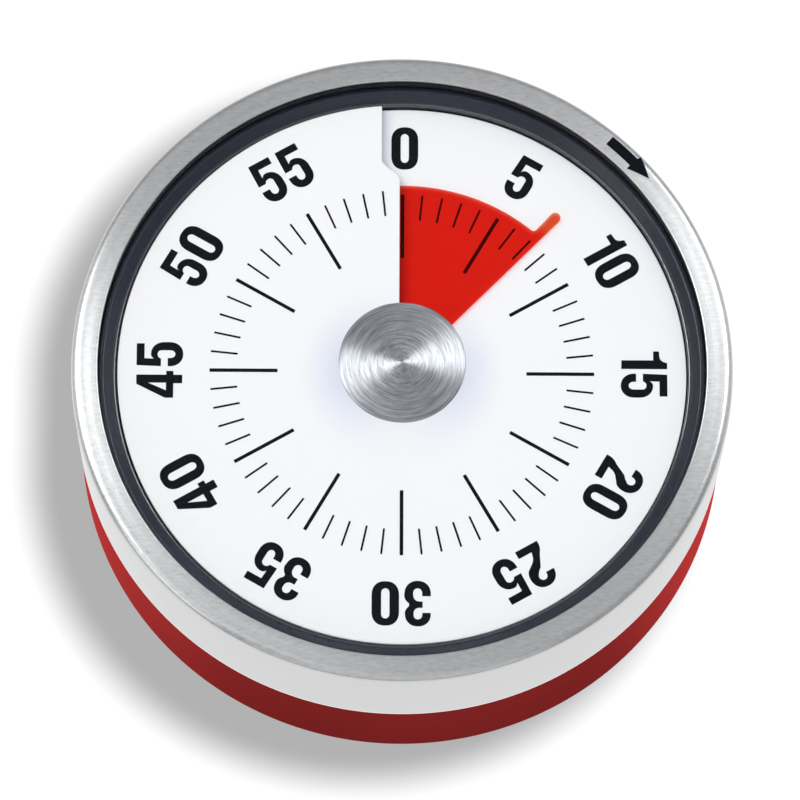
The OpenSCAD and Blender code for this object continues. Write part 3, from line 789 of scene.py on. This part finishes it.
MARKS_R = 23.25
marks = grow(
    "minute_marks",
    marks_tree("minute marks"),
    {
        "Outer Radius": MARKS_R * MM,
        "Long": 8.21 * MM,
        "Long Width": 0.44 * MM,
        "Short": 3.26 * MM,
        "Short Width": 0.25 * MM,
        "Pitch": DIAL_PITCH,
        "Zero Height": DIAL_ZERO,
        "Thickness": PRINT_T,
        "Ink": ink,
    },
)
link("minute_marks", marks, "base")
print("minute marks:", len(marks.polygons), "faces")

# %% [markdown]
# ## Numerals
#
# Plain bold condensed figures, drawn from straight lines and elliptic arcs in
# millimetres, 5.37 mm high, and printed a little larger. A 2D curve fills each
# figure with its holes and gives the ink a little thickness; then every point is
# set down on the spiral. Only the figures 0 to 5 are needed.

# %% Figures
DRAWN_H = 5.37
PRINTED_H = 5.55
FIGURE_GAP = 0.6


def arc(cx, cy, rx, ry, start, finish, steps=14, power=1.0):
    """Points on an elliptic arc, in degrees; a power under 1 squares its shoulders."""
    out = []
    for k in range(steps + 1):
        a = math.radians(start + (finish - start) * k / steps)
        c, s = math.cos(a), math.sin(a)
        x = math.copysign(abs(c) ** power, c)
        y = math.copysign(abs(s) ** power, s)
        out.append((cx + rx * x, cy + ry * y))
    return out


FIGURES = {
    "0": (3.18, [
        arc(1.59, 3.6, 1.59, 1.77, 0, 180, 24, 0.84) + arc(1.59, 1.77, 1.59, 1.77, 180, 360, 24, 0.84),
        arc(1.59, 3.96, 0.48, 0.55, 0, 180, 16) + arc(1.59, 1.4, 0.48, 0.55, 180, 360, 16),
    ]),
    "1": (2.2, [
        [(1.12, 0), (2.2, 0), (2.2, 5.37), (1.46, 5.37)]
        + arc(0.55, 5.37, 0.86, 0.92, -12, -78, 10)
        + [(0, 4.43), (0, 3.74), (1.12, 3.74)],
    ]),
    "2": (3.0, [
        [(0, 0), (2.92, 0), (2.92, 0.93), (1.22, 0.93)]
        + arc(3.05, 1.0, 1.75, 1.6, 172, 128, 6)
        + arc(1.47, 3.82, 1.53, 1.6, -38, 180, 26, 0.94)
        + [(0.98, 3.82)]
        + arc(1.48, 4.02, 0.5, 0.56, 180, -20, 14)
        + arc(0.0, 4.3, 1.98, 1.6, -24, -52, 5)
        + arc(2.0, 0.3, 2.0, 1.9, 140, 176, 6),
    ]),
    "3": (3.1, [
        [(0, 1.78)]
        + arc(1.53, 1.5, 1.53, 1.58, 184, 360, 22, 0.94)
        + arc(1.55, 1.62, 1.55, 1.35, 0, 52, 6)
        + arc(1.52, 3.9, 1.5, 1.2, -46, 0, 6)
        + arc(1.5, 3.95, 1.5, 1.5, 0, 176, 22, 0.94)
        + [(0.03, 3.8), (1.0, 3.8)]
        + arc(1.5, 4.1, 0.5, 0.5, 180, 0, 12)
        + arc(1.35, 3.85, 0.65, 0.66, 0, -90, 8)
        + [(0.95, 3.19), (0.95, 2.42), (1.35, 2.42)]
        + arc(1.35, 1.66, 0.7, 0.76, 90, 0, 8)
        + arc(1.53, 1.38, 0.52, 0.55, 0, -180, 12)
        + [(1.01, 1.78)],
    ]),
    "4": (3.31, [
        [(1.79, 0), (2.84, 0), (2.84, 1.04), (3.31, 1.04), (3.31, 1.88), (2.84, 1.88), (2.84, 5.37),
         (1.7, 5.37), (0, 2.02), (0, 1.04), (1.79, 1.04)],
        [(1.86, 1.9), (1.86, 4.0), (0.92, 1.9)],
    ]),
    "5": (3.0, [
        [(0, 2.52), (0.94, 2.52)]
        + arc(1.47, 2.5, 0.5, 0.42, 165, 0, 12)
        + arc(1.49, 1.42, 0.48, 0.58, 0, -180, 14)
        + [(1.01, 1.72), (0.0, 1.72)]
        + arc(1.49, 1.5, 1.49, 1.58, 172, 360, 22, 0.94)
        + arc(1.5, 2.1, 1.48, 1.6, 0, 96, 12, 0.94)
        + arc(1.42, 2.95, 0.55, 0.72, 98, 150, 5)
        + [(0.94, 3.55), (0.98, 4.45), (2.82, 4.45), (2.82, 5.37), (0.12, 5.37)],
    ]),
}


def word_contours(word):
    """Closed outlines of a number, centred on x = 0, with its baseline at y = 0."""
    size = PRINTED_H / DRAWN_H
    width = sum(FIGURES[c][0] for c in word) * size + FIGURE_GAP * (len(word) - 1)
    x = -width / 2
    out = []
    for c in word:
        for outline in FIGURES[c][1]:
            out.append([(px * size + x, py * size) for px, py in outline])
        x += FIGURES[c][0] * size + FIGURE_GAP
    return out


def printed(name, contours, lay):
    """Ink in the shape of filled outlines in millimetres; lay sets each point down."""
    curve = bpy.data.curves.new(name, "CURVE")
    curve.dimensions = "2D"
    curve.fill_mode = "BOTH"
    curve.extrude = 0.5
    for outline in contours:
        spline = curve.splines.new("POLY")
        spline.points.add(len(outline) - 1)
        for point, (x, y) in zip(spline.points, outline):
            point.co = (x, y, 0, 1)
        spline.use_cyclic_u = True
    holder = bpy.data.objects.new(name, curve)
    scene.collection.objects.link(holder)
    graph = bpy.context.evaluated_depsgraph_get()
    mesh = bpy.data.meshes.new_from_object(holder.evaluated_get(graph))
    bpy.data.objects.remove(holder)
    bm = bmesh.new()
    bm.from_mesh(mesh)
    bmesh.ops.remove_doubles(bm, verts=bm.verts, dist=0.001)
    for v in bm.verts:
        v.co = lay(v.co.x, v.co.y, v.co.z + 0.5)
    bmesh.ops.recalc_face_normals(bm, faces=bm.faces)
    bm.to_mesh(mesh)
    bm.free()
    return mesh


NUMBER_R = 26.53
numbers = []
for minutes in range(0, 60, 5):
    angle = math.radians(minutes * 6)
    aside = 0.25 if minutes == 0 else 0.0

    def lay(x, y, depth, angle=angle, aside=aside):
        r = math.hypot(x + aside, y + NUMBER_R)
        a = angle + math.atan2(x + aside, y + NUMBER_R)
        return clock_point(r, a, dial_height(r, a) + PRINT_T * depth)

    numbers.append(printed(f"number_{minutes}", word_contours(str(minutes)), lay))
dial_numbers = link("dial_numbers", joined("dial_numbers", numbers), "base")
finish(dial_numbers, ink)
print("numbers:", len(dial_numbers.data.polygons), "faces")

# %% [markdown]
# ## The red film
#
# A thin see-through sheet lies on the dial and shows the time left. It runs on
# under the higher end of the dial for the rest of its turn. A pointer tab grows
# out of its outer edge, in line with the leading edge, with a round tip. The
# film tints what lies under it, so the marks stay visible as dark red lines.
# It is a closed sheet, so light that comes back from the dial has passed four of
# its faces: each face takes only the fourth root of the whole tint.

# %% Film shape
FILM_T = 0.2 * MM
FILM_IN = 4.25
FILM_R = 24.25
FILM_SWEEP = TURN * FILM_TURN
FILM_LEAD = math.radians(44.1)
TAB_W = 1.3
TAB_TIP = 28.05
TAB_FILLET = 0.5


def film_edge(s):
    """The film's outer radius at a distance s behind its leading edge, in mm."""
    over = s - TAB_W - TAB_FILLET
    if s <= TAB_W:
        return TAB_TIP - TAB_W / 2 + math.sqrt(max(0, (TAB_W / 2) ** 2 - (s - TAB_W / 2) ** 2))
    if over < 0:
        return FILM_R + TAB_FILLET - math.sqrt(max(0, TAB_FILLET**2 - over**2))
    return FILM_R


film_distances = [TAB_W / 2 * (1 - math.cos(math.pi * k / 14)) for k in range(15)]
film_distances += [TAB_W + TAB_FILLET * (1 - math.cos(math.pi / 2 * k / 12)) for k in range(1, 13)]
film_angles = [s / (TAB_TIP - TAB_W / 2) for s in film_distances]
film_rows = [(film_edge(s), a) for s, a in zip(film_distances, film_angles)]
body_steps = 180
for k in range(1, body_steps + 1):
    a = film_angles[-1] + (FILM_SWEEP - film_angles[-1]) * k / body_steps
    film_rows.append((FILM_R, a))
FILM_STOPS = (0, 0.25, 0.5, 0.75, 1)
film_grid = [[(FILM_IN + (r - FILM_IN) * u, FILM_LEAD - a) for u in FILM_STOPS] for r, a in film_rows]
film_mesh = sheet("time_film", film_grid, dial_height, FILM_GAP + FILM_T, FILM_T)
film = link("time_film", film_mesh, "film_disc")
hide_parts("film")
print("film:", len(film_mesh.polygons), "faces")


# %% Film finish
def see_through(name, tint, body, rough, alpha, rim=None, rim_from=1.0):
    """A clear sheet: light passes with a tint, and a little of it is reflected.
    Beyond a radius the tint may change to that of a rim."""
    t = Tree(name)
    skin = t.noise(t.objects(), 500, 2.0, 0.5)
    x, y, z = t.axes()
    zone = t.span(t.far(x, y), 0, 1, rim_from, rim_from + 1.5 * MM)
    tinted = t.ramp(zone, (0.0, tint), (1.0, rim or tint))
    gloss = t.add(
        "ShaderNodeBsdfPrincipled",
        Base_Color=(*body, 1),
        Roughness=t.span(skin, rough, rough + 0.08),
    )
    clear = t.add("ShaderNodeBsdfTransparent", Color=tinted)
    mix = t.add("ShaderNodeMixShader", Fac=alpha, i1=clear.outputs[0], i2=gloss.outputs[0])
    t.links.new(mix.outputs[0], t.out.inputs["Surface"])
    return t.material


film_red = see_through(
    "film_red",
    tint=(1.0, 0.36, 0.3),
    body=(0.95, 0.04, 0.03),
    rough=0.35,
    alpha=0.015,
    rim=(1.0, 0.56, 0.42),
    rim_from=FILM_R * MM,
)
finish(film, film_red)

# %% [markdown]
# ## Lens and knob
#
# The lens is a flat clear disc under the lip. It shows itself only by a faint
# sheen, so it passes nearly all light. The knob's cap is spun from thin steel:
# a flat top with turned rings over a short skirt that tapers in to the lens. The
# knob's shade is painted into the dial's colour, so the knob, its core and its
# screw are hidden from shadow and diffuse rays and cast none of their own.

# %% Lens
LENS_R = lens_high.x / MM
LENS_TOP = lens_high.z / MM
LENS_BOTTOM = lens_low.z / MM
LENS_HOLE = 3.35
lens_mesh = turned(
    "clear_lens",
    [
        (LENS_R, LENS_BOTTOM, 0.1),
        (LENS_R, LENS_TOP, 0.1),
        (LENS_HOLE, LENS_TOP, 0.05),
        (LENS_HOLE, LENS_BOTTOM, 0.05),
    ],
    256,
    2,
)
lens = link("clear_lens", lens_mesh, "rotor")
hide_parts("lens")
lens_clear = see_through("lens_clear", (0.99, 0.992, 0.996), (0.02, 0.02, 0.02), 0.02, 0.015)
finish(lens, lens_clear)

# %% Knob
KNOB_R = knob_high.x / MM
KNOB_TOP = knob_high.z / MM
KNOB_BOTTOM = knob_low.z / MM
KNOB_FACE = KNOB_TOP - 0.03
KNOB_UNDER = KNOB_TOP - 0.5
knob_mesh = turned(
    "spun_knob",
    [
        (0, KNOB_FACE, 0),
        (0, KNOB_UNDER, 0),
        (KNOB_R - 0.5, KNOB_UNDER, 0),
        (KNOB_R - 0.55, KNOB_BOTTOM, 0.02),
        (KNOB_R - 0.45, KNOB_BOTTOM, 0.03),
        (KNOB_R, KNOB_TOP - 0.13, 0.05),
        (KNOB_R - 0.13, KNOB_FACE, 0.1),
    ],
    256,
    6,
)
knob = link("spun_knob", knob_mesh, "rotor")
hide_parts("knob_cap")
finish(knob, knob_steel)
# The knob's shade is painted into the dial, so these pieces cast none.
for piece in (knob, nodes["knob_core"], nodes["knob_screw"]):
    piece.visible_shadow = False
    piece.visible_diffuse = False

# %% [markdown]
# ## The arrow on the ring
#
# A printed arrow tells which way to turn. It follows the ring: its shaft is
# bent round the same centre, and it lies over the ring's rounded shoulder. It is
# one thin sheet: rows across the shaft, then rows that narrow to the tip.

# %% Arrow
ARROW_R = 38.45
SHAFT_W = 1.28
HEAD_W = 2.36
SHAFT_FROM = math.radians(40.9)
HEAD_FROM = math.radians(46.95)
ARROW_TIP = math.radians(51.1)
ARROW_T = 0.05 * MM


def shoulder_height(r, angle):
    """Height of the ring's face and shoulder at a radius; the angle has no part."""
    centre_r = RING_R - SHOULDER
    centre_z = FLAT_TOP - math.tan(OUTER_SLOPE) * (centre_r - FLAT_R) - SHOULDER / math.cos(OUTER_SLOPE)
    if r < FLAT_R:
        return (RING_TOP - math.tan(FACE_SLOPE) * max(0, r - CREST_R)) * MM
    if r < centre_r + SHOULDER * math.sin(OUTER_SLOPE):
        return (FLAT_TOP - math.tan(OUTER_SLOPE) * (r - FLAT_R)) * MM
    return (centre_z + math.sqrt(max(0, SHOULDER**2 - (r - centre_r) ** 2))) * MM


arrow_widths = [(SHAFT_FROM + (HEAD_FROM - SHAFT_FROM) * k / 12, SHAFT_W) for k in range(13)]
for k in range(9):
    share = k / 8
    along = HEAD_FROM + 0.001 + (ARROW_TIP - HEAD_FROM) * share
    arrow_widths.append((along, HEAD_W * (1 - share) + 0.02))
arrow_rows = [[(ARROW_R + width * (j / 10 - 0.5), a) for j in range(11)] for a, width in arrow_widths]
arrow_mesh = sheet("turn_arrow", arrow_rows, shoulder_height, 0.025 * MM, ARROW_T)
arrow = link("turn_arrow", arrow_mesh, "rotor")
finish(arrow, ink)

# %% [markdown]
# ## Base
#
# The base is one red moulding: a straight wall with a small bend at the
# bottom, a step under the ring and a neck that the ring runs on. Seen from
# below it has a groove for the rubber foot, four sunk screws and a rose of
# sound holes for the bell. The holes are cut with one boolean.

# %% Base shell
BASE_R = base_high.x / MM
BASE_BOTTOM = base_low.z / MM
BASE_TOP = BODY_TOP / MM
NECK_TOP = base_high.z / MM
BASE_WALL = 2.2
BASE_FLOOR = 2
GROOVE_DEPTH = 1
GROOVE_WIDTH = 3.2
FOOT_GAP = 0.05
FOOT_OUT = foot_high.x / MM + FOOT_GAP
FOOT_IN = FOOT_OUT - GROOVE_WIDTH
base_mesh = turned(
    "red_base",
    [
        (0, BASE_BOTTOM, 0),
        (FOOT_IN, BASE_BOTTOM, 0.2),
        (FOOT_IN, BASE_BOTTOM + GROOVE_DEPTH, 0),
        (FOOT_OUT, BASE_BOTTOM + GROOVE_DEPTH, 0),
        (FOOT_OUT, BASE_BOTTOM, 0.2),
        (BASE_R, BASE_BOTTOM, 0.3),
        (BASE_R, BASE_TOP, 0.2),
        (NECK_R, BASE_TOP, 0.1),
        (NECK_R, NECK_TOP, 0.2),
        (NECK_R - NECK_WALL, NECK_TOP, 0.2),
        (NECK_R - NECK_WALL, BASE_TOP - 1, 0.3),
        (BASE_R - BASE_WALL, BASE_TOP - 2, 0.3),
        (BASE_R - BASE_WALL, BASE_BOTTOM + BASE_FLOOR, 0.5),
        (0, BASE_BOTTOM + BASE_FLOOR, 0),
    ],
    288,
    6,
)
base = link("red_base", base_mesh, "base")


def cut(piece, mesh):
    """Takes a mesh away from a piece."""
    tool = bpy.data.objects.new("tool", mesh)
    scene.collection.objects.link(tool)
    step = piece.modifiers.new("cut", "BOOLEAN")
    step.operation = "DIFFERENCE"
    step.solver = "EXACT"
    step.object = tool
    graph = bpy.context.evaluated_depsgraph_get()
    result = bpy.data.meshes.new_from_object(piece.evaluated_get(graph))
    piece.modifiers.clear()
    piece.data = result
    bpy.data.objects.remove(tool)
    smooth(result)


SOUND_INNER = spots(6, 7, 1.1)
SOUND_OUTER = spots(12, 11, 1.1)
cut(base, plugs("sound holes", SOUND_INNER + SOUND_OUTER, -1, 5))
cut(base, plugs("screw wells", spots(4, SCREW_FAR, 2.7, TURN / 8), -1, BASE_BOTTOM + 1.9))
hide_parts("base_shell")
base.visible_diffuse = False
finish(base, red_plastic)

# %% Foot ring
FOOT_TOP = BASE_BOTTOM + 0.95
foot_mesh = turned(
    "rubber_foot",
    [
        (FOOT_IN + FOOT_GAP, FOOT_TOP, 0),
        (FOOT_IN + FOOT_GAP, 0, 0.35),
        (FOOT_OUT - FOOT_GAP, 0, 0.35),
        (FOOT_OUT - FOOT_GAP, FOOT_TOP, 0),
    ],
)
foot = link("rubber_foot", foot_mesh, "base")
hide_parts("foot_ring")
finish(foot, rubber)

# %% [markdown]
# ## Movement
#
# The wheels, plates and springs stay as the CAD made them. They are seen only
# when the case is open, but each gets its own metal: rolled brass for plates and
# wheels, bright cut steel for arbors, blued spring steel, dark screws.


# %% Metals of the movement
def metal(name, colour, rough, scale, drift=0.12):
    t = Tree(name)
    cloud = t.noise(t.objects(), scale, 4.0, 0.6)
    dark = tuple(c * (1 - drift) for c in colour)
    light = tuple(min(1.0, c * (1 + drift)) for c in colour)
    t.principled(
        Base_Color=t.ramp(cloud, (0.35, dark), (0.65, light)),
        Metallic=1.0,
        Roughness=t.span(cloud, rough - 0.05, rough + 0.1),
        Normal=t.bump(cloud, 0.1, 0.01 * MM),
    )
    return t.material


SLOT_FINISHES = {
    "brass": metal("brass", (0.8, 0.58, 0.26), 0.3, 700),
    "cut_steel": metal("cut_steel", (0.6, 0.61, 0.63), 0.25, 1500),
    "spring_steel": metal("spring_steel", (0.2, 0.24, 0.34), 0.3, 900),
    "dark_screw": metal("dark_screw", (0.16, 0.16, 0.17), 0.35, 1200),
    "bell_steel": metal("bell_steel", (0.7, 0.71, 0.73), 0.15, 400),
    "magnet_nickel": metal("magnet_nickel", (0.65, 0.64, 0.6), 0.2, 500),
    "black_liner": black_plastic,
    "dark_tray": tray_plastic,
    "red_hub": red_plastic,
    "foot_rubber": rubber,
    "brushed_steel": face_steel,
    "spun_steel": knob_steel,
    "red_shell": red_plastic,
    "white_dial": dial_plastic,
    "clear_lens": lens_clear,
    "red_film": film_red,
}
for row in frame["record"]["subparts"]:
    finish(nodes[row["node"]], SLOT_FINISHES[row["material_slot"]])
    smooth(nodes[row["node"]].data, 30)
print("finishes given to", len(nodes), "CAD nodes")

# %% [markdown]
# ## Table
#
# A white table in a soft white room. The table glows evenly, as a light table does,
# so it stays white at any angle. The shade on it is a tone of its material and isn't
# cast by the timer: its outline lies at one distance from a short line beside the
# timer's centre. Camera rays see that tone, and steel and glass see plain white.
# Neither the table nor the red base throws its colour on other pieces.

# %% Table
TABLE_HALF = 3.0
SHADE_X = -4.75 * MM
SHADE_Y = (-2.97 * MM, 6.66 * MM)
SHADE_R = 40.95 * MM
SHADE_FROM = SHADE_R - 3.2 * MM
SHADE_TO = SHADE_R + 3.8 * MM
SHADE_LEVEL = 0.445
WHITE_LEVEL = 1.04
MIRRORED_LEVEL = 1.1
corners = [(x * TABLE_HALF, y * TABLE_HALF, 0) for x, y in ((-1, -1), (1, -1), (1, 1), (-1, 1))]
table_mesh = bpy.data.meshes.new("table")
table_mesh.from_pydata(corners, [], [(0, 1, 2, 3)])
table = bpy.data.objects.new("table", table_mesh)
scene.collection.objects.link(table)
t = Tree("table_white")
x, y, z = t.axes()
past = t.math("SUBTRACT", y, t.math("MINIMUM", t.math("MAXIMUM", y, SHADE_Y[0]), SHADE_Y[1]))
far = t.far(t.math("SUBTRACT", x, SHADE_X), past)
soft_edge = {"interpolation_type": "SMOOTHSTEP"}
tone = t.span(far, SHADE_LEVEL, WHITE_LEVEL, SHADE_FROM, SHADE_TO, **soft_edge)
path = t.add("ShaderNodeLightPath").outputs
mirrored = t.math("MAXIMUM", path["Is Glossy Ray"], path["Is Transmission Ray"])
shown = t.math("MULTIPLY", path["Is Camera Ray"], tone)
glow = t.add("ShaderNodeEmission", Color=(1, 1, 1, 1))
reflected = t.math("MULTIPLY", mirrored, MIRRORED_LEVEL)
t.links.new(t.math("ADD", shown, reflected), glow.inputs["Strength"])
t.links.new(glow.outputs[0], t.out.inputs["Surface"])
finish(table, t.material)
table.visible_diffuse = False
print("table:", 2 * TABLE_HALF, "m wide")

# %% [markdown]
# ## Lamps
#
# Lamps and cards share the work, as in a product studio. The lamps light matt
# surfaces and show in no reflection: a key overhead, a warm fill at each side, and
# a low strip at each side for the flanks of the base. The cards show only in
# reflections: one at each side gives the steel its fans, and those that stand low
# lighten the ring's bend. The room is white overhead and darker towards the floor.


# %% Lamps
def softbox(name, direction, away, width, height, watts):
    """A rectangular lamp at a distance that faces the timer."""
    data = bpy.data.lights.new(name, "AREA")
    data.shape = "RECTANGLE"
    data.size = width
    data.size_y = height
    data.energy = watts
    lamp = bpy.data.objects.new(name, data)
    scene.collection.objects.link(lamp)
    way = Vector(direction).normalized()
    lamp.location = way * away
    lamp.rotation_euler = way.to_track_quat("Z", "Y").to_euler()
    return lamp


LAMP_AWAY = 0.85
CARD_AWAY = 0.9
RIGHT = (0.501, 0.422, 0.755)
LEFT = (-0.565, 0.24, 0.789)
WHITE = (1, 1, 1)
WARM = (1, 0.88, 0.6)
for name, direction, size, watts, colour in (
    ("key", (0.05, -0.05, 1), 0.8, 2.46, WHITE),
    ("fill_right", RIGHT, 0.4, 1.7, WARM),
    ("fill_left", LEFT, 0.4, 1.7, WARM),
):
    lamp = softbox(name, direction, LAMP_AWAY, size, size, watts)
    lamp.data.color = colour
    lamp.visible_glossy = False
for name, direction, size, watts in (
    ("card_right", RIGHT, (0.42, 0.42), 2.9),
    ("card_left", LEFT, (0.42, 0.42), 4.6),
    ("card_low", (-0.25, -0.02, 0.97), (0.4, 0.4), 0.3),
    ("card_front", (0, -0.588, 0.809), (0.6, 0.2), 0.25),
    ("card_side", (-0.76, -0.42, 0.5), (0.4, 0.5), 1.0),
    ("card_table", (0, -0.9, 0.42), (1.2, 0.35), 1.0),
    ("rim_left", (-0.94, 0.342, 0.2), (0.6, 0.2), 0.3),
    ("rim_right", (0.94, 0.342, 0.2), (0.6, 0.2), 0.3),
):
    card = softbox(name, direction, CARD_AWAY, *size, watts)
    card.visible_diffuse = False
STRIP_SIZE = (0.3, 0.04)
STRIP_RISE = 0.025
for name, azimuth, watts in (("strip_right", 36, 9.5), ("strip_left", 152, 6.2)):
    a = math.radians(azimuth)
    strip = softbox(name, (math.cos(a), math.sin(a), STRIP_RISE), CARD_AWAY, *STRIP_SIZE, watts)
    strip.visible_glossy = False
print("lamps:", len(bpy.data.lights))

# %% Room
ROOM_LEVELS = ((0.45, 0.19), (0.52, 0.4), (1.0, 0.87))
world = bpy.data.worlds.new("studio")
scene.world = world
world.use_nodes = True
sky = world.node_tree
look = sky.nodes.new("ShaderNodeTexCoord")
parts = sky.nodes.new("ShaderNodeSeparateXYZ")
height = sky.nodes.new("ShaderNodeMapRange")
height.inputs["From Min"].default_value = -1
bands = sky.nodes.new("ShaderNodeValToRGB")
bands.color_ramp.elements.new(0.5)
for element, (position, level) in zip(bands.color_ramp.elements, ROOM_LEVELS):
    element.position = position
    element.color = (level, level, level, 1)
sky.links.new(look.outputs["Generated"], parts.inputs[0])
sky.links.new(parts.outputs["Z"], height.inputs["Value"])
sky.links.new(height.outputs["Result"], bands.inputs["Fac"])
sky.links.new(bands.outputs["Color"], sky.nodes["Background"].inputs["Color"])
